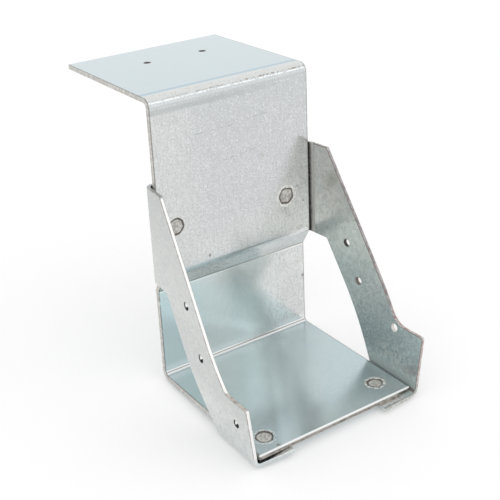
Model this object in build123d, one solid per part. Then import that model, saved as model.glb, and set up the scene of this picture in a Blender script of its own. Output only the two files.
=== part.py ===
from build123d import *
import math
import os

# Welded top-flange joist hanger, in mm. Origin: centre of the seat's top face.
# +X to the right seen from the open front, +Y into the wall, +Z up.
# Depths are measured forward from the lower plate's front face, heights up from the seat.

# Sheets, their cut edges and the inside radius of their folds. The strap's sheet is the thicker one.
strap_sheet = 2.7
sheet = 2.0
shear_radius = 0.8
deburr = 0.3
corner_radius = 0.8
strap_fold_radius = 2.2
fold_radius = 2.5
left_foot_radius = 1.5

# Strap: seat, lower plate, joggle, upper plate and the flange that hooks over the wall.
strap_width = 98.0
seat_depth = 90.7
hook_height = 160.7
flange_depth = 87.9
joggle_step = 6.3
joggle_bottom = 52.4
joggle_top = 62.7
joggle_hollow_radius = 1.0
joggle_brow_radius = 7.0

# Side plates: outline that both brackets share.
plate_top = 115.0
plate_notch = 60.4
lip_height = 28.3
top_corner_depth = 18.9
notch_depth = 18.2
brace_slope = 1.6

# Side plates: the soft bend between their two flat parts.
soft_bend_radius = 240.0

# Upright flange behind the upper plate, and the relief cut at its foot.
rear_flange = 24.5
rear_drop = 0.4
relief_height = 65.0
relief_clearance = 0.4

# Where the two brackets differ: clearances beside the strap, angles that the upper part is set out by
# towards the front and the lower part towards its top, curve above the lip, front end, flange end and
# its hang below the seat.
left_rear_gap = 1.5
left_seat_gap = 1.7
left_toe_out = 3.8
left_lean_out = 6.0
left_curve_radius = 6.0
left_front = 91.4
left_front_skew = 7.3
left_flange_end = 30.0
left_drop = 1.6
right_rear_gap = 1.1
right_seat_gap = 1.5
right_toe_out = 4.7
right_lean_out = 8.2
right_curve_radius = 12.0
right_front = 93.8
right_front_skew = 3.9
right_flange_end = 27.5
right_drop = 0.3

# Nail holes: across the flange and behind the lower plate; side plates as distance behind the line
# of the brace's front edge, and height.
nail_radius = 2.25
flange_nail_distance = 56.1
flange_nail_xs = (-14.1, 22.0)
left_nails = [(10.8, 63.1), (14.1, 38.8), (2.2, 14.6)]
right_nails = [(17.1, 62.8), (20.6, 42.5), (2.0, 25.8)]

# Spot welds: on the upper plate as distance from the middle and height, on the seat as distance and depth.
weld_radius = 4.5
weld_flare = 0.7
weld_sink = 0.3
nugget_radius = 3.0
left_plate_weld = (38.4, 89.6)
left_seat_weld = (38.2, 79.5)
right_plate_weld = (32.9, 87.6)
right_seat_weld = (36.7, 76.9)

plate_y = seat_depth / 2
upper_y = plate_y - joggle_step
half_width = strap_width / 2
# Past the folds, the flanges' short legs and the side plate share this stretch of flat sheet.
lap_start = fold_radius - 0.75 * sheet
lap_end = lap_start + 0.5 * sheet


def folded(points, radius, thickness=sheet):
    """Cross-section of the sheet along its middle line."""
    return trace(FilletPolyline(*points, radius=radius), line_width=thickness)


def weld_mark():
    """Shallow flat-bottomed dent left by the electrode, open towards +Z."""
    return Cone(weld_radius - weld_flare, weld_radius + weld_flare, 2 * weld_sink)


def strap():
    """One folded length of sheet, from the seat's front edge to the wall flange's rear edge."""
    middle = strap_sheet / 2
    middle_y = plate_y + middle
    path = [
        (-plate_y, -middle),
        (middle_y, -middle),
        (middle_y, joggle_bottom),
        (middle_y - joggle_step, joggle_top),
        (middle_y - joggle_step, hook_height - middle),
        (upper_y + strap_sheet + flange_depth, hook_height - middle),
    ]
    fold = strap_fold_radius + middle
    radii = [fold, joggle_hollow_radius + middle, joggle_brow_radius - middle, fold]
    body = extrude(Plane.YZ * folded(path, radii, strap_sheet), amount=half_width, both=True)
    front = body.faces().sort_by(Axis.Y)[0].edges().filter_by(Axis.X).sort_by(Axis.Z)[-1]
    body = fillet(front, shear_radius)
    body = chamfer(body.faces().filter_by(Plane.YZ).edges(), deburr)
    for x in flange_nail_xs:
        body -= Pos(x, plate_y + flange_nail_distance, hook_height) * Cylinder(nail_radius, 4 * strap_sheet)
    for side, weld in ((-1, left_seat_weld), (1, right_seat_weld)):
        body -= Pos(side * weld[0], plate_y - weld[1], 0) * weld_mark()
    for side, weld in ((-1, left_plate_weld), (1, right_plate_weld)):
        body -= Pos(side * weld[0], upper_y, weld[1]) * Rot(90, 0, 0) * weld_mark()
    return body


def side_outline(curve_radius):
    """Side plate seen from the side, run on below, behind and in front for the flanges and the end cut."""
    brace_run = (plate_top - lip_height) / brace_slope
    below = -4 * sheet
    behind = upper_y + 4 * sheet
    ahead = plate_y - 1.2 * seat_depth
    points = [
        (behind, plate_top),
        (plate_y - top_corner_depth, plate_top),
        (plate_y - top_corner_depth - brace_run, lip_height),
        (ahead, lip_height),
        (ahead, below),
        (plate_y - notch_depth - (plate_notch - below) / brace_slope, below),
        (plate_y - notch_depth, plate_notch),
        (behind, plate_notch),
    ]
    face = make_face(Polyline(*points, close=True))
    for index, radius in ((1, corner_radius), (2, curve_radius), (6, corner_radius)):
        vertex = face.vertices().sort_by_distance((*points[index], 0))[0]
        face = fillet(vertex, radius)
    return face


def side_plate(corner, toe_out, lean_out):
    """Upper part set out about the upright fold, lower part leaning about the seat fold."""
    toe = math.radians(toe_out)
    lean = math.radians(lean_out)
    upper_normal = Vector(math.cos(toe), math.sin(toe), 0)
    lower_normal = Vector(math.cos(lean), 0, -math.sin(lean))
    crease = lower_normal.cross(upper_normal).normalized()
    turn = math.acos(upper_normal.dot(lower_normal))
    reach = 1.2 * plate_top
    path = [(-reach, 0), (0, 0), (reach * math.cos(turn), -reach * math.sin(turn))]
    across = Plane(origin=corner, x_dir=upper_normal.cross(crease), z_dir=crease)
    plate = extrude(across * folded(path, soft_bend_radius), amount=2 * seat_depth, both=True)
    beyond_folds = Box(strap_width, 2 * seat_depth, 2 * plate_top, align=(Align.CENTER, Align.MAX, Align.MIN))
    return plate & Pos(half_width, upper_y - lap_start, lap_start) * beyond_folds


def on_rim(edge, rim, cut):
    """True for an edge along the sheet's cut rim, not for a short one that runs through its thickness."""
    if edge.length < 1.5 * sheet:
        return False
    middle = edge.position_at(0.5)
    at_front = abs((middle - cut.origin).dot(cut.z_dir)) < 0.001
    return at_front or rim.distance_to(Vector(0, middle.Y, middle.Z)) < 0.001


def side_bracket(nails, rear_gap, seat_gap, toe_out, lean_out, curve_radius, foot_radius, front, front_skew,
                 flange_end, drop, plate_weld, seat_weld):
    """Right-hand bracket: side plate, upright flange behind the strap and flange under the seat."""
    toe_slope = math.tan(math.radians(toe_out))
    lean_slope = math.tan(math.radians(lean_out))
    middle_x = half_width + sheet / 2

    def upper_x(y):
        return middle_x + rear_gap + toe_slope * (plate_y - y)

    def lower_x(z):
        return middle_x + seat_gap + lean_slope * z

    back_y = upper_y + strap_sheet + sheet / 2
    fold_y = back_y + rear_drop
    leg_y = upper_y - lap_end
    rear_x = upper_x(fold_y)
    rear_path = [(rear_x - rear_flange, back_y), (rear_x, fold_y), (upper_x(leg_y), leg_y)]
    rear = extrude(Plane.XY * folded(rear_path, fold_radius + sheet / 2), amount=plate_top)
    relief = Box(strap_width, strap_width, plate_top, align=(Align.MAX, Align.CENTER, Align.MAX))
    rear -= Pos(half_width + relief_clearance, upper_y, relief_height) * relief

    under_z = -strap_sheet - sheet / 2
    fold_z = under_z - drop
    seat_path = [(flange_end, under_z), (lower_x(fold_z), fold_z), (lower_x(lap_end), lap_end)]
    foot = extrude(Plane.XZ * folded(seat_path, foot_radius + sheet / 2), amount=1.2 * seat_depth, both=True)

    corner = (middle_x + rear_gap, plate_y, (rear_gap - seat_gap) / lean_slope)
    bracket = side_plate(corner, toe_out, lean_out) + rear + foot
    outline = side_outline(curve_radius)
    bracket &= extrude(Plane.YZ * outline, amount=2 * half_width)
    skew = math.radians(front_skew)
    into_bracket = (-math.sin(skew), math.cos(skew), 0)
    cut = Plane(origin=(half_width, plate_y - front, 0), x_dir=(0, 0, 1), z_dir=into_bracket)
    bracket = split(bracket, bisect_by=cut, keep=Keep.TOP)
    lip_corner = bracket.edges().sort_by_distance((lower_x(lip_height), plate_y - front, lip_height))[0]
    bracket = fillet(lip_corner, corner_radius)
    rim = (Plane.YZ * outline).wires()[0]
    cut_edges = [edge for edge in bracket.edges() if on_rim(edge, rim, cut)]
    bracket = chamfer(cut_edges, deburr)
    for behind, z in nails:
        edge_y = plate_y - top_corner_depth - (plate_top - z) / brace_slope
        bracket -= Pos(half_width, edge_y + behind, z) * Rot(0, 90, 0) * Cylinder(nail_radius, half_width)

    # The weld nuggets bridge the thin wedges between the flanges and the strap.
    nugget = Cylinder(nugget_radius, sheet, align=(Align.CENTER, Align.CENTER, Align.MAX))
    bracket += Pos(seat_weld[0], plate_y - seat_weld[1], -strap_sheet) * nugget
    bracket += Pos(plate_weld[0], upper_y + strap_sheet, plate_weld[1]) * Rot(90, 0, 0) * nugget
    return bracket


def left_bracket():
    right_hand = side_bracket(left_nails, left_rear_gap, left_seat_gap, left_toe_out, left_lean_out,
                              left_curve_radius, left_foot_radius, left_front, left_front_skew,
                              left_flange_end, left_drop, left_plate_weld, left_seat_weld)
    return mirror(right_hand, Plane.YZ)


def right_bracket():
    return side_bracket(right_nails, right_rear_gap, right_seat_gap, right_toe_out, right_lean_out,
                        right_curve_radius, fold_radius, right_front, right_front_skew,
                        right_flange_end, right_drop, right_plate_weld, right_seat_weld)


os.makedirs("parts", exist_ok=True)
export_step(strap(), "parts/strap.step")
export_step(left_bracket(), "parts/left_bracket.step")
export_step(right_bracket(), "parts/right_bracket.step")
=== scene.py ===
import bmesh
import bpy
from mathutils import Matrix, Vector

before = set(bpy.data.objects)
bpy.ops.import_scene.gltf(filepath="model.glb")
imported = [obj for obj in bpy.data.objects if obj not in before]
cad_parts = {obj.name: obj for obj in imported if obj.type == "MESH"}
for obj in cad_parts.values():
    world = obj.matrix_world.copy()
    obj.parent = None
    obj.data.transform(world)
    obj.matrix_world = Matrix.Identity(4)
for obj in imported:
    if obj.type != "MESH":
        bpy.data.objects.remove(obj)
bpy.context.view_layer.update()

# Strap: one length of hot-dip galvanised sheet, folded into wall flange, upper plate, joggle, lower plate and
# seat. Its zinc is bluish and smooth on the flange and seat, greyer and grained up the plates, and much of
# the brightness across the plates, joggle and seat is painted reflection and painted shade. The folds are
# scuffed and carry painted highlights, the sheared sides are bare and brownish, and four spot welds left
# scorched discs with a pale halo.


def node(tree, kind, inputs=(), **settings):
    """Adds a shader node; inputs maps a socket to a value or to another node's output."""
    made = tree.nodes.new(kind)
    for key, value in settings.items():
        setattr(made, key, value)
    for key, value in dict(inputs).items():
        if isinstance(value, bpy.types.NodeSocket):
            tree.links.new(value, made.inputs[key])
        else:
            made.inputs[key].default_value = value
    return made


def sums(tree, operation, first, second=0.5):
    """Works one sum on two values, or on the first alone."""
    return node(tree, "ShaderNodeMath", {0: first, 1: second}, operation=operation).outputs["Value"]


def sloped(tree, value, low, high, at_low=0.0, at_high=1.0):
    """Runs in a straight line from at_low, where the value is low, to at_high, where it is high."""
    ends = {"Value": value, "From Min": low, "From Max": high, "To Min": at_low, "To Max": at_high}
    return node(tree, "ShaderNodeMapRange", ends).outputs["Result"]


def stepped(tree, value, low, high):
    """0 below low, 1 above high, smooth between; low above high turns it round."""
    ends = {"Value": value, "From Min": low, "From Max": high}
    return node(tree, "ShaderNodeMapRange", ends, interpolation_type="SMOOTHSTEP").outputs["Result"]


def near(tree, value, centre, half, soft):
    """1 within half of centre, fading to 0 over soft."""
    away = sums(tree, "ABSOLUTE", sums(tree, "SUBTRACT", value, centre))
    return stepped(tree, away, half + soft, half)


def both(tree, *shares):
    """Where all of the shares lie on each other."""
    result = shares[0]
    for share in shares[1:]:
        result = sums(tree, "MULTIPLY", result, share)
    return result


def either(tree, *shares):
    """Where at least one of the shares lies."""
    result = shares[0]
    for share in shares[1:]:
        result = sums(tree, "MAXIMUM", result, share)
    return result


def painted(tree, colour, share, tint, strength=1.0):
    """Lays a tint over the colour on a share of the surface, as strongly as strength says."""
    if strength != 1.0:
        share = sums(tree, "MULTIPLY", share, strength)
    if not isinstance(tint, bpy.types.NodeSocket):
        tint = (*tint, 1)
    coats = {"Factor": share, "A": colour, "B": tint}
    return node(tree, "ShaderNodeMix", coats, data_type="RGBA").outputs["Result"]


def graded(tree, value, stops):
    """Colour that changes along a value through (value, colour) stops."""
    low = stops[0][0]
    high = stops[-1][0]
    made = node(tree, "ShaderNodeValToRGB", {"Fac": sloped(tree, value, low, high)})
    elements = made.color_ramp.elements
    while len(elements) < len(stops):
        elements.new(0.5)
    for element, (position, tint) in zip(elements, stops):
        element.position = (position - low) / (high - low)
        element.color = (*tint, 1)
    return made.outputs["Color"]


def flecked(tree, pattern, tint, fleck):
    """One tint, with flecks of a second one where the pattern is 1."""
    return graded(tree, pattern, [(0.0, tint), (1.0, fleck)])


def clouds(tree, place, size, detail=4.0, stretch=(1, 1, 1)):
    """Uneven cloudy pattern with features of about the given size, drawn out by stretch along each axis."""
    moved = node(tree, "ShaderNodeMapping", {"Vector": place, "Scale": [1 / (size * s) for s in stretch]})
    noise = {"Vector": moved.outputs["Vector"], "Scale": 1.0, "Detail": detail, "Roughness": 0.6}
    return node(tree, "ShaderNodeTexNoise", noise).outputs["Fac"]


def from_line(tree, place, point, across):
    """Distance from the line through a point that runs at right angles to the axes named in across."""
    keep = [1.0 if letter in across else 0.0 for letter in "xyz"]
    shift = [-value * kept for value, kept in zip(point, keep)]
    offset = node(tree, "ShaderNodeVectorMath", {0: place, 1: keep, 2: shift}, operation="MULTIPLY_ADD")
    length = node(tree, "ShaderNodeVectorMath", {0: offset.outputs["Vector"]}, operation="LENGTH")
    return length.outputs["Value"]


def zinc(name):
    """Bare galvanised sheet: material, tree, shader, place on the piece, and that place's x, y and z."""
    material = bpy.data.materials.new(name)
    material.use_nodes = True
    tree = material.node_tree
    shader = tree.nodes["Principled BSDF"]
    place = node(tree, "ShaderNodeTexCoord").outputs["Object"]
    apart = node(tree, "ShaderNodeSeparateXYZ", {"Vector": place})
    return material, tree, shader, place, apart.outputs["X"], apart.outputs["Y"], apart.outputs["Z"]


def finish_zinc(tree, shader, place, colour, dull, smooth, rough):
    """Joins colour, sheen, metal share and a rolled grain to the shader; dull marks scatter more light."""
    sheen = sloped(tree, clouds(tree, place, 0.004), 0.0, 1.0, smooth, rough)
    half_dull = sums(tree, "MULTIPLY", dull, 0.5)
    grain = clouds(tree, place, 0.0006, stretch=(1, 1, 12))
    rolled = node(tree, "ShaderNodeBump", {"Height": grain, "Strength": 0.06, "Distance": 0.0002})
    tree.links.new(colour, shader.inputs["Base Color"])
    tree.links.new(sums(tree, "MAXIMUM", sheen, half_dull), shader.inputs["Roughness"])
    tree.links.new(sums(tree, "SUBTRACT", 1.0, half_dull), shader.inputs["Metallic"])
    tree.links.new(rolled.outputs["Normal"], shader.inputs["Normal"])


strap_side = 0.0490
strap_front = -0.04535
flange_top = 0.1607
nail_radius = 0.00225
strap_zinc, tree, shader, place, x, y, z = zinc("strap_zinc")

# Upright plates: greyer with height, partly the zinc's tone and partly painted reflection. The lighter lower
# left of the upper plate and the lower plate's bluish tones, palest right of its middle, are painted
# reflection.
upright_tints_and_reflection = [
    (0.000, (0.700, 0.720, 0.705)),
    (0.050, (0.700, 0.720, 0.705)),
    (0.062, (0.730, 0.750, 0.745)),
    (0.072, (0.720, 0.735, 0.730)),
    (0.088, (0.635, 0.650, 0.655)),
    (0.120, (0.610, 0.622, 0.632)),
    (0.158, (0.585, 0.605, 0.610)),
]
colour = graded(tree, z, upright_tints_and_reflection)
# Painted reflection: lighter over the upper plate's lower left.
upper_left_reflection = both(tree, stepped(tree, x, -0.008, -0.040), stepped(tree, z, 0.060, 0.068))
colour = painted(tree, colour, upper_left_reflection, (0.675, 0.695, 0.680), 0.8)
lower_plate = stepped(tree, z, 0.056, 0.050)
# Painted reflection across the lower plate, bluish and palest right of its middle.
lower_plate_reflection_tints = [
    (-0.045, (0.66, 0.75, 0.76)),
    (-0.030, (0.65, 0.74, 0.74)),
    (-0.020, (0.72, 0.75, 0.74)),
    (-0.010, (0.75, 0.78, 0.76)),
    (0.000, (0.77, 0.82, 0.81)),
    (0.010, (0.91, 0.97, 0.96)),
    (0.022, (0.88, 0.92, 0.91)),
    (0.034, (0.75, 0.77, 0.76)),
    (0.045, (0.74, 0.76, 0.745)),
]
colour = painted(tree, colour, lower_plate, graded(tree, x, lower_plate_reflection_tints))
# Painted reflection on the joggle's slope: pale at its left, darker towards the right.
joggle_reflection_tints = [
    (-0.030, (0.97, 0.99, 0.95)),
    (0.000, (0.88, 0.93, 0.91)),
    (0.015, (0.76, 0.81, 0.80)),
    (0.030, (0.60, 0.64, 0.64)),
    (0.045, (0.56, 0.60, 0.605)),
]
colour = painted(tree, colour, near(tree, z, 0.0572, 0.0036, 0.0026), graded(tree, x, joggle_reflection_tints))

# Grain of the zinc: upright streaks, dark specks and pale frost, all weaker on the smooth left part of the
# lower plate.
streaks = stepped(tree, clouds(tree, place, 0.0008, 3.0, stretch=(1, 1, 10)), 0.42, 0.66)
specks = stepped(tree, clouds(tree, place, 0.0010, 2.0), 0.50, 0.62)
frost = stepped(tree, clouds(tree, place, 0.0009, 2.0), 0.46, 0.36)
smooth_part = both(tree, lower_plate, stepped(tree, x, 0.034, 0.012))
grainy = sloped(tree, smooth_part, 0.0, 1.0, 1.0, 0.3)
colour = painted(tree, colour, both(tree, streaks, grainy), (0.42, 0.43, 0.44), 0.24)
colour = painted(tree, colour, both(tree, specks, grainy), (0.42, 0.42, 0.42), 0.40)
colour = painted(tree, colour, both(tree, frost, grainy), (0.88, 0.90, 0.92), 0.40)

# Seat: bluer and brighter towards its front right corner, with a light streak down its middle, which are
# painted reflection, and a rear darkened with painted shade near the fold. Its blotches, pale spots and
# specks are the zinc's own.
blotches = stepped(tree, clouds(tree, place, 0.012), 0.35, 0.7)
seat_reflection_tints = [
    (-0.070, (0.44, 0.51, 0.52)),
    (-0.030, (0.42, 0.49, 0.505)),
    (-0.005, (0.45, 0.525, 0.545)),
    (0.012, (0.48, 0.57, 0.59)),
    (0.025, (0.525, 0.615, 0.635)),
    (0.040, (0.52, 0.63, 0.655)),
    (0.070, (0.54, 0.64, 0.665)),
]
seat_colour_and_reflection = graded(tree, sums(tree, "SUBTRACT", x, y), seat_reflection_tints)
# Painted reflection: a light streak down the middle of the seat.
along_streak = sums(tree, "SUBTRACT", x, sums(tree, "MULTIPLY", y, 0.62))
reflection_streak = both(tree, near(tree, along_streak, -0.001, 0.003, 0.007), sloped(tree, y, -0.012, 0.012, 1.0, 0.4))
seat_colour_and_reflection = painted(tree, seat_colour_and_reflection, reflection_streak, (0.64, 0.75, 0.78))
# Painted reflection: lighter towards the seat's front.
seat_front_reflection = both(tree, stepped(tree, y, -0.030, -0.043), stepped(tree, x, -0.022, -0.005))
seat_colour_and_reflection = painted(tree, seat_colour_and_reflection, seat_front_reflection, (0.67, 0.78, 0.80), 0.8)
# Painted shade along the seat's rear, by the fold.
seat_rear_shade = stepped(tree, y, 0.033, 0.040)
seat_colour_and_reflection = painted(tree, seat_colour_and_reflection, seat_rear_shade, (0.45, 0.52, 0.535))
seat_colour_and_reflection = painted(tree, seat_colour_and_reflection, blotches, (0.62, 0.69, 0.70), 0.12)
pale_spots = both(tree, stepped(tree, clouds(tree, place, 0.0020, 3.0), 0.58, 0.70),
                  stepped(tree, y, 0.005, -0.020))
seat_colour_and_reflection = painted(tree, seat_colour_and_reflection, pale_spots, (0.72, 0.78, 0.79), 0.6)
seat_colour_and_reflection = painted(tree, seat_colour_and_reflection, specks, (0.38, 0.46, 0.48), 0.16)
colour = painted(tree, colour, stepped(tree, z, 0.0020, 0.0005), seat_colour_and_reflection)

# Wall flange: smooth and bluish, with faint blotches.
flange_colour = graded(tree, y, [(0.044, (0.60, 0.69, 0.72)), (0.129, (0.615, 0.70, 0.725))])
flange_colour = painted(tree, flange_colour, blotches, (0.60, 0.71, 0.755), 0.4)
colour = painted(tree, colour, stepped(tree, z, flange_top - 0.0032, flange_top - 0.0007), flange_colour)

# Top fold: tool lines on both sides, a pale scuffed band and brown specks on its crest, a painted highlight
# just below the crest and a band of painted shade below that, which tones the lamp's glint down. A line along
# the bend lies where y + z has one value.
round_bend = sums(tree, "ADD", y, z)
crest_line = 0.1995
speckle = clouds(tree, place, 0.0010, 3.0)
scuffed_band = both(tree, stepped(tree, round_bend, crest_line - 0.0010, crest_line + 0.0005),
                    stepped(tree, round_bend, crest_line + 0.0080, crest_line + 0.0060))
colour = painted(tree, colour, scuffed_band, (0.75, 0.755, 0.735), 0.85)
band_specks = both(tree, scuffed_band, stepped(tree, speckle, 0.50, 0.66))
colour = painted(tree, colour, band_specks, (0.50, 0.49, 0.46), 0.45)
blue_line = near(tree, round_bend, crest_line + 0.0095, 0.0008, 0.0012)
colour = painted(tree, colour, blue_line, (0.40, 0.53, 0.61), 0.85)
brown_patches = stepped(tree, clouds(tree, place, 0.0013, 3.0), 0.47, 0.60)
crest = both(tree, near(tree, round_bend, crest_line, 0.0003, 0.0006), brown_patches,
             stepped(tree, x, -0.070, 0.020))
colour = painted(tree, colour, crest, (0.24, 0.16, 0.11), 0.75)
# Painted shade on the bend below the crest.
shade_below_crest = near(tree, round_bend, crest_line - 0.0033, 0.0010, 0.0012)
colour = painted(tree, colour, shade_below_crest, (0.44, 0.47, 0.48), 0.55)
# Painted highlight just below the crest.
bend_highlight = both(tree, near(tree, round_bend, crest_line - 0.0013, 0.0004, 0.0005),
                   stepped(tree, speckle, 0.62, 0.45))
colour = painted(tree, colour, bend_highlight, (0.88, 0.89, 0.90), 0.8)
tool_line = both(tree, near(tree, z, 0.1534, 0.0008, 0.0014), stepped(tree, x, 0.045, -0.020))
colour = painted(tree, colour, tool_line, (0.42, 0.45, 0.45), 0.60)

# Joggle: a dark line in its hollow with a painted highlight below it, painted shade on the brow, and a pale
# patch at the brow's right end, a painted highlight that stands in for small wrinkles there.
joggle_hollow = 0.0521
joggle_brow = 0.0632
hollow = near(tree, z, joggle_hollow, 0.00015, 0.0004)
colour = painted(tree, colour, hollow, (0.30, 0.28, 0.24), 0.75)
highlight_below_hollow = near(tree, z, joggle_hollow - 0.0009, 0.0001, 0.0004)
colour = painted(tree, colour, highlight_below_hollow, (0.92, 0.93, 0.92), 0.7)
# Painted shade on the brow.
brow_shade = both(tree, near(tree, z, joggle_brow, 0.0006, 0.0036), stepped(tree, x, 0.040, 0.020))
colour = painted(tree, colour, brow_shade, (0.42, 0.49, 0.51), 0.35)
# Painted highlight for the small wrinkles at the brow's right end.
wrinkle_glint = both(tree, near(tree, z, joggle_brow + 0.0003, 0.0010, 0.0020), near(tree, x, 0.0400, 0.0040, 0.0040),
             stepped(tree, clouds(tree, place, 0.0018, 3.0), 0.40, 0.60))
colour = painted(tree, colour, wrinkle_glint, (0.86, 0.87, 0.87), 0.5)

# Seat fold, on its inner side only: a dark line along the bend, a painted highlight in front of it and a pale
# fade of painted reflection.
fold_middle = 0.0460
inner_side = stepped(tree, y, 0.0455, 0.0454)
fold_line = both(tree, near(tree, round_bend, fold_middle, 0.0002, 0.0004),
                 stepped(tree, z, 0.0100, 0.0050), inner_side)
fold_highlight = both(tree, near(tree, round_bend, fold_middle - 0.0014, 0.0005, 0.0004),
                  stepped(tree, z, 0.0040, 0.0025), inner_side)
fold_pale_reflection = both(tree, near(tree, z, 0.0022, 0.0012, 0.0030), stepped(tree, z, 0.0005, 0.0014), inner_side)
colour = painted(tree, colour, fold_pale_reflection, (0.88, 0.90, 0.90), 0.6)
colour = painted(tree, colour, fold_line, (0.20, 0.17, 0.14), 0.8)
colour = painted(tree, colour, fold_highlight, (0.95, 0.95, 0.95), 0.9)

# Handling marks: three broken scratches on the upper plate, each with its height, ends and rise, a few dark
# pits with their radii, and one small brown stain.
broken = stepped(tree, clouds(tree, place, 0.0030, 3.0), 0.42, 0.58)
scratches = ((0.1370, -0.026, -0.002, 0.00), (0.1380, 0.010, 0.022, 0.05), (0.1195, -0.006, 0.016, 0.10))
for height, left_end, right_end, rise in scratches:
    level = sums(tree, "SUBTRACT", z, sums(tree, "MULTIPLY", x, rise))
    length = near(tree, x, (left_end + right_end) / 2, (right_end - left_end) / 2, 0.002)
    scratch = both(tree, near(tree, level, height, 0.0001, 0.0004), broken, length)
    colour = painted(tree, colour, scratch, (0.38, 0.42, 0.46), 0.6)
pits_seen = (
    ((0.0406, 0, 0.0918), "xz", 0.0003),
    ((-0.0190, 0, 0.0670), "xz", 0.0006),
    ((0.0477, 0, 0.0308), "xz", 0.0007),
    ((-0.0364, -0.0436, 0), "xy", 0.0007),
    ((0.0446, 0, 0.0818), "xz", 0.0002),
)
pits = either(tree, *[
    stepped(tree, from_line(tree, place, spot, across), size + 0.0005, size)
    for spot, across, size in pits_seen])
colour = painted(tree, colour, pits, (0.16, 0.14, 0.12), 0.6)
stain = both(tree, stepped(tree, from_line(tree, place, (0.0172, 0, 0.1158), "xz"), 0.0022, 0.0008),
             stepped(tree, speckle, 0.42, 0.54))
colour = painted(tree, colour, stain, (0.46, 0.41, 0.36), 0.5)

# Spot welds: scorched disc, dark broken ring and pale uneven halo. The halo's strength and the ring's radius
# differ from weld to weld.
welds = (
    ((-0.0384, 0, 0.0896), "xz", 0.40, 0.0060),
    ((0.0329, 0, 0.0876), "xz", 0.80, 0.0060),
    ((-0.0382, -0.03415, 0), "xy", 0.45, 0.0059),
    ((0.0367, -0.03155, 0), "xy", 0.90, 0.0055),
)
wobble = sums(tree, "MULTIPLY", clouds(tree, place, 0.0035), 0.0022)
uneven = stepped(tree, clouds(tree, place, 0.0022, 3.0), 0.36, 0.54)
mottle = stepped(tree, clouds(tree, place, 0.0016, 3.0), 0.40, 0.62)
scorched = flecked(tree, mottle, (0.70, 0.69, 0.65), (0.42, 0.41, 0.38))
scorched = painted(tree, scorched, streaks, (0.64, 0.61, 0.57), 0.3)
dull = pits
for spot, across, halo_strength, radius in welds:
    away = sums(tree, "ADD", from_line(tree, place, spot, across), wobble)
    halo = both(tree, stepped(tree, away, radius + 0.0020, radius + 0.0010), uneven)
    ring = stepped(tree, away, radius + 0.0002, radius - 0.0002)
    disc = stepped(tree, away, radius - 0.0008, radius - 0.0012)
    colour = painted(tree, colour, halo, (0.92, 0.92, 0.87), halo_strength)
    colour = painted(tree, colour, ring, (0.11, 0.09, 0.08), 0.95)
    colour = painted(tree, colour, disc, scorched)
    dull = either(tree, dull, halo, ring)

# Sheared sides with a dark border, a painted highlight along the rounded front edge with a brown lower part,
# and nail holes whose walls are painted dark with shade below their rim.
off_middle = sums(tree, "ABSOLUTE", x)
sheared = stepped(tree, off_middle, strap_side - 0.00020, strap_side - 0.00005)
border = both(tree, near(tree, off_middle, strap_side - 0.00035, 0.0002, 0.0003),
              stepped(tree, clouds(tree, place, 0.0025, 2.0), 0.25, 0.45))
colour = painted(tree, colour, border, (0.22, 0.21, 0.20), 0.8)
colour = painted(tree, colour, sheared, flecked(tree, mottle, (0.68, 0.67, 0.64), (0.50, 0.48, 0.45)))
# Painted highlight along the seat's rounded front edge.
front_edge_highlight = both(tree, stepped(tree, y, strap_front + 0.00085, strap_front + 0.00045),
                  stepped(tree, z, -0.0010, -0.0006))
colour = painted(tree, colour, front_edge_highlight, (0.86, 0.87, 0.86))
under_edge = both(tree, stepped(tree, y, strap_front + 0.00055, strap_front + 0.00015),
                  stepped(tree, z, -0.0008, -0.0012))
colour = painted(tree, colour, under_edge, flecked(tree, mottle, (0.42, 0.38, 0.35), (0.24, 0.21, 0.19)))
nail_holes = either(tree, *[
    stepped(tree, from_line(tree, place, spot, "xy"), nail_radius + 0.0002, nail_radius + 0.0001)
    for spot in ((-0.0141, 0.10145, 0), (0.0220, 0.10145, 0))])
# Painted shade inside the nail holes, dark below the rim.
hole_shade_tints = [
    (flange_top - 0.0017, (0.02, 0.02, 0.02)),
    (flange_top - 0.0007, (0.03, 0.02, 0.02)),
    (flange_top - 0.0002, (0.80, 0.80, 0.79)),
]
colour = painted(tree, colour, nail_holes, graded(tree, z, hole_shade_tints))
dull_all_over = 0.15
band_patches = both(tree, scuffed_band, stepped(tree, speckle, 0.40, 0.60))
dull = either(tree, dull, sheared, nail_holes, front_edge_highlight, fold_highlight, dull_all_over, band_patches)
finish_zinc(tree, shader, place, colour, dull, smooth=0.16, rough=0.24)
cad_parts["strap"].data.materials[0] = strap_zinc

# Left bracket: folded galvanised sheet, spot-welded behind the upper plate and under the seat. Its zinc is a
# pale neutral grey, its sheared front edge bright, and its nail holes have a crescent of painted shade.


def facing(tree):
    """Which way the surface faces on the piece, as x, y and z."""
    normal = node(tree, "ShaderNodeTexCoord").outputs["Normal"]
    apart = node(tree, "ShaderNodeSeparateXYZ", {"Vector": normal})
    return apart.outputs["X"], apart.outputs["Y"], apart.outputs["Z"]


left_zinc, tree, shader, place, x, y, z = zinc("left_zinc")
facing_x, facing_y, facing_z = facing(tree)
left_tints = [
    (0.000, (0.74, 0.77, 0.76)),
    (0.016, (0.77, 0.79, 0.77)),
    (0.027, (0.65, 0.67, 0.65)),
    (0.045, (0.645, 0.66, 0.64)),
    (0.060, (0.69, 0.70, 0.685)),
    (0.085, (0.63, 0.64, 0.625)),
    (0.115, (0.53, 0.54, 0.53)),
]
colour = graded(tree, z, left_tints)
under_flange = stepped(tree, z, -0.0030, -0.0040)
colour = painted(tree, colour, under_flange, (0.67, 0.72, 0.72))
mottle = stepped(tree, clouds(tree, place, 0.0040, 4.0), 0.42, 0.62)
colour = painted(tree, colour, mottle, (0.54, 0.57, 0.59), 0.28)
specks = stepped(tree, clouds(tree, place, 0.0016, 3.0), 0.48, 0.62)
colour = painted(tree, colour, specks, (0.44, 0.45, 0.46), 0.26)
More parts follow.
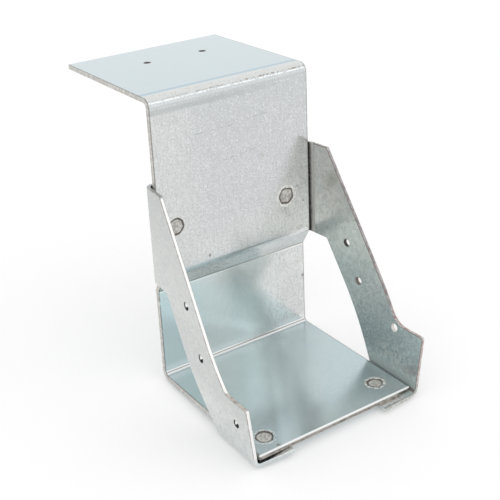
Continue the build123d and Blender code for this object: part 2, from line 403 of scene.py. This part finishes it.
frost = stepped(tree, clouds(tree, place, 0.0014, 3.0), 0.47, 0.36)
colour = painted(tree, colour, frost, (0.82, 0.84, 0.84), 0.30)

# Cut edges of the side plate: bright in front, grey at the top, brown on the lip, with a dark broken arris.
sideways = sums(tree, "ABSOLUTE", facing_x)
on_plate = both(tree, stepped(tree, y, 0.0385, 0.0380), stepped(tree, z, -0.0010, 0.0000))
cut = both(tree, stepped(tree, sideways, 0.75, 0.60), on_plate)
patches = stepped(tree, clouds(tree, place, 0.0020, 3.0), 0.42, 0.60)
colour = painted(tree, colour, cut, (0.93, 0.93, 0.92))
top_cut = both(tree, cut, stepped(tree, z, 0.1135, 0.1145))
colour = painted(tree, colour, top_cut, (0.36, 0.37, 0.36))
up_or_down = sums(tree, "ABSOLUTE", facing_z)
lip_cut = both(tree, cut, stepped(tree, up_or_down, 0.80, 0.90), stepped(tree, z, 0.040, 0.032))
colour = painted(tree, colour, lip_cut, flecked(tree, patches, (0.62, 0.58, 0.54), (0.42, 0.37, 0.33)))
arris = both(tree, near(tree, sideways, 0.72, 0.12, 0.05), on_plate)
colour = painted(tree, colour, arris, (0.40, 0.38, 0.36), 0.55)
colour = painted(tree, colour, both(tree, arris, patches), (0.26, 0.19, 0.16), 0.6)

# Nail holes: walls painted white as a highlight, with painted shade over their outer and lower parts, apart
# from their front.
left_nails = ((-0.05419, 0.00481, 0.0631), (-0.05483, -0.00708, 0.0388), (-0.05323, -0.0341, 0.0146))
nail_walls = []
for spot in left_nails:
    wall = stepped(tree, from_line(tree, place, spot, "yz"), nail_radius + 0.00015, nail_radius + 0.00007)
    shaded_outside = stepped(tree, x, spot[0] - 0.0002, spot[0] - 0.0005)
    low = stepped(tree, z, spot[2] - 0.0013, spot[2] - 0.0017)
    rearward = stepped(tree, y, spot[1] - 0.0012, spot[1] - 0.0006)
    colour = painted(tree, colour, wall, (0.95, 0.95, 0.95))
    colour = painted(tree, colour, both(tree, wall, either(tree, shaded_outside, low), rearward), (0.03, 0.03, 0.03))
    nail_walls.append(wall)
finish_zinc(tree, shader, place, colour, either(tree, cut, *nail_walls), smooth=0.22, rough=0.30)
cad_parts["left_bracket"].data.materials[0] = left_zinc

# Right bracket: the same sheet folded the other way. Its inner face is blotched, with painted shade low down
# near the foot and painted reflection brightening it up its middle, and its sheared edges are pinkish brown
# with rust-red dots.
right_zinc, tree, shader, place, x, y, z = zinc("right_zinc")
facing_x, facing_y, facing_z = facing(tree)
# Painted shade low on the inner face beside the seat, and painted reflection brightening its middle height.
right_shade_and_reflection_tints = [
    (-0.004, (0.78, 0.80, 0.78)),
    (0.003, (0.64, 0.66, 0.64)),
    (0.010, (0.47, 0.50, 0.49)),
    (0.018, (0.57, 0.61, 0.60)),
    (0.030, (0.76, 0.79, 0.765)),
    (0.043, (0.88, 0.89, 0.855)),
    (0.062, (0.96, 0.95, 0.91)),
    (0.075, (0.90, 0.89, 0.84)),
    (0.092, (0.72, 0.72, 0.68)),
    (0.115, (0.65, 0.65, 0.60)),
]
colour = graded(tree, z, right_shade_and_reflection_tints)
mottle = stepped(tree, clouds(tree, place, 0.0045, 4.0), 0.42, 0.62)
colour = painted(tree, colour, mottle, (0.47, 0.53, 0.52), 0.24)
more_below = sloped(tree, stepped(tree, z, 0.060, 0.020), 0.0, 1.0, 0.5, 1.0)
specks = both(tree, stepped(tree, clouds(tree, place, 0.0018, 3.0), 0.47, 0.60), more_below)
colour = painted(tree, colour, specks, (0.36, 0.40, 0.40), 0.42)
frost = both(tree, stepped(tree, clouds(tree, place, 0.0015, 3.0), 0.47, 0.37), more_below)
colour = painted(tree, colour, frost, (0.84, 0.88, 0.86), 0.46)
beige = both(tree, near(tree, z, 0.0100, 0.0030, 0.0060), near(tree, y, -0.0300, 0.0080, 0.0100),
             stepped(tree, clouds(tree, place, 0.0035, 3.0), 0.42, 0.60))
colour = painted(tree, colour, beige, (0.92, 0.86, 0.78), 0.4)
inner_face = both(tree, stepped(tree, sums(tree, "SUBTRACT", facing_x, facing_z), -0.5, -0.8),
                  stepped(tree, x, 0.040, 0.045))
# Painted shade on the inner face just above the seat.
shade_beside_seat = both(tree, inner_face, stepped(tree, z, 0.0040, 0.0015))
colour = painted(tree, colour, shade_beside_seat, (0.37, 0.44, 0.43))

# Cut edges: brown on the lip, darker up the brace and at the top, greenish on the foot, with near-black
# arrises.
sideways = sums(tree, "ABSOLUTE", facing_x)
on_plate = both(tree, stepped(tree, y, 0.0385, 0.0380), stepped(tree, z, -0.0045, -0.0040))
above_seat = both(tree, on_plate, stepped(tree, z, 0.0, 0.001))
facing_front = stepped(tree, facing_y, -0.80, -0.90)
cut = both(tree, stepped(tree, sideways, 0.80, 0.65), either(tree, above_seat, facing_front))
brace_cut = both(tree, cut, stepped(tree, z, 0.026, 0.036))
top_cut = both(tree, cut, stepped(tree, z, 0.1130, 0.1145))
foot_cut = both(tree, cut, stepped(tree, z, 0.004, 0.001))
patches = stepped(tree, clouds(tree, place, 0.0022, 3.0), 0.40, 0.60)
colour = painted(tree, colour, cut, flecked(tree, patches, (0.70, 0.66, 0.64), (0.46, 0.40, 0.38)))
colour = painted(tree, colour, brace_cut, flecked(tree, patches, (0.42, 0.40, 0.40), (0.24, 0.22, 0.22)))
colour = painted(tree, colour, top_cut, flecked(tree, patches, (0.62, 0.60, 0.57), (0.30, 0.28, 0.27)))
colour = painted(tree, colour, foot_cut, flecked(tree, patches, (0.64, 0.69, 0.66), (0.48, 0.52, 0.50)))
near_black = (0.17, 0.14, 0.13)
foot_front = stepped(tree, y, -0.040, -0.042)
arris = both(tree, near(tree, sideways, 0.76, 0.16, 0.04), either(tree, on_plate, foot_front))
colour = painted(tree, colour, arris, near_black, 0.8)
up_or_down = sums(tree, "ABSOLUTE", facing_z)
foot_arris = both(tree, near(tree, up_or_down, 0.70, 0.15, 0.05), foot_front, stepped(tree, z, 0.000, -0.001))
colour = painted(tree, colour, foot_arris, near_black, 0.8)

# Narrow gap beside the strap's upper plate: painted shade, with a ragged black line of painted shade where
# the fold turns in.
ragged = sums(tree, "ADD", y, sums(tree, "MULTIPLY", clouds(tree, place, 0.0014, 2.0), 0.0024))
beside_gap = both(tree, inner_face, stepped(tree, facing_x, -0.55, -0.75), stepped(tree, x, 0.0496, 0.0499),
                  stepped(tree, y, 0.0362, 0.0372), stepped(tree, z, 0.058, 0.060))
gap_shade = flecked(tree, stepped(tree, ragged, 0.0392, 0.0412), (0.55, 0.55, 0.51), (0.18, 0.17, 0.17))
colour = painted(tree, colour, beside_gap, gap_shade)
black_shade_line = both(tree, beside_gap, stepped(tree, ragged, 0.0408, 0.0418))
colour = painted(tree, colour, black_shade_line, (0.03, 0.03, 0.03))

# Rust dots, more of them towards the front, and the walls of the nail holes in painted shade, paler from top
# to bottom.
rust_dots = stepped(tree, clouds(tree, place, 0.0016, 2.0), 0.56, 0.62)
rust = both(tree, cut, rust_dots, stepped(tree, y, 0.0000, -0.0350))
colour = painted(tree, colour, rust, (0.30, 0.10, 0.08), 0.8)
right_nails = (
    ((0, 0.01093, 0.0628), (0.07, 0.06, 0.06)),
    ((0, 0.00174, 0.0425), (0.20, 0.16, 0.14)),
    ((0, -0.0273, 0.0258), (0.75, 0.71, 0.67)),
)
nail_walls = []
# Painted shade on the nail hole walls, darkest in the top hole.
for spot, tint in right_nails:
    wall = stepped(tree, from_line(tree, place, spot, "yz"), nail_radius + 0.00015, nail_radius + 0.00007)
    colour = painted(tree, colour, wall, tint)
    nail_walls.append(wall)
in_shade = sums(tree, "MULTIPLY", either(tree, shade_beside_seat, beside_gap), 2.0)
finish_zinc(tree, shader, place, colour, either(tree, cut, *nail_walls, in_shade), smooth=0.22, rough=0.30)
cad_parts["right_bracket"].data.materials[0] = right_zinc

# Floor: a plain sheet of white paper, level with the three points that the hanger stands on: the rear corners
# of the flanges under the seat and the strap's right corner behind. It glows a little where the camera or a
# reflection sees it, so that the background is white.
left_foot = Vector((-0.04865, -0.01472, -0.00613))
right_foot = Vector((0.04784, -0.0140, -0.00498))
rear_corner = Vector((0.0487, 0.04315, -0.00272))
floor_up = (right_foot - left_foot).cross(rear_corner - left_foot).normalized()
floor_turn = floor_up.to_track_quat("Z", "Y").to_matrix().to_4x4()
floor_mesh = bmesh.new()
bmesh.ops.create_grid(floor_mesh, x_segments=1, y_segments=1, size=4)
bmesh.ops.transform(floor_mesh, matrix=Matrix.Translation(left_foot) @ floor_turn, verts=floor_mesh.verts)
floor_data = bpy.data.meshes.new("floor")
floor_mesh.to_mesh(floor_data)
floor_mesh.free()
floor = bpy.data.objects.new("floor", floor_data)
bpy.context.scene.collection.objects.link(floor)
white_paper = bpy.data.materials.new("white_paper")
white_paper.use_nodes = True
tree = white_paper.node_tree
shader = tree.nodes["Principled BSDF"]
shader.inputs["Base Color"].default_value = (0.8, 0.8, 0.8, 1)
shader.inputs["Roughness"].default_value = 1.0
shader.inputs["Specular IOR Level"].default_value = 0.0
shader.inputs["Emission Color"].default_value = (1, 1, 1, 1)
rays = node(tree, "ShaderNodeLightPath")
seen = either(tree, rays.outputs["Is Camera Ray"], rays.outputs["Is Glossy Ray"],
              rays.outputs["Is Transmission Ray"])
paper_glow = 0.22
tree.links.new(sums(tree, "MULTIPLY", seen, paper_glow), shader.inputs["Emission Strength"])
floor_data.materials.append(white_paper)

# Light: a white room and one wide, weak lamp in front, to the right and above.
world = bpy.data.worlds.new("white_room")
bpy.context.scene.world = world
world.use_nodes = True
sky = world.node_tree.nodes["Background"]
sky.inputs["Color"].default_value = (1, 1, 1, 1)
sky.inputs["Strength"].default_value = 1.0

hanger_middle = Vector((0, 0, 0.06))
lamp_distance = 1.4
lamp_data = bpy.data.lights.new("soft_lamp", "AREA")
lamp_data.shape = "DISK"
lamp_data.size = 1.2
lamp_data.energy = 1.25
lamp = bpy.data.objects.new("soft_lamp", lamp_data)
lamp.location = Vector((0.487, -0.781, 0.391)) * lamp_distance
lamp.rotation_mode = "QUATERNION"
lamp.rotation_quaternion = (hanger_middle - lamp.location).to_track_quat("-Z", "Y")
bpy.context.scene.collection.objects.link(lamp)

# Camera: in front, to the left and above, with a long lens.
camera_data = bpy.data.cameras.new("camera")
camera_data.sensor_width = 36.0
camera_data.lens = 71.302
camera_data.shift_x = 0.055782
camera_data.shift_y = -0.096612
camera_data.clip_start = 0.01
camera = bpy.data.objects.new("camera", camera_data)
camera_place = Matrix.Translation((-0.266888, -0.373398, 0.302427))
camera_right = Vector((0.834872, -0.547882, -0.053045))
camera_up = Vector((0.255691, 0.300669, 0.918815))
camera_back = Vector((-0.487453, -0.780656, 0.391109))
camera.matrix_world = camera_place @ Matrix((camera_right, camera_up, camera_back)).transposed().to_4x4()
bpy.context.scene.collection.objects.link(camera)
bpy.context.scene.camera = camera
bpy.context.scene.view_settings.view_transform = "Standard"
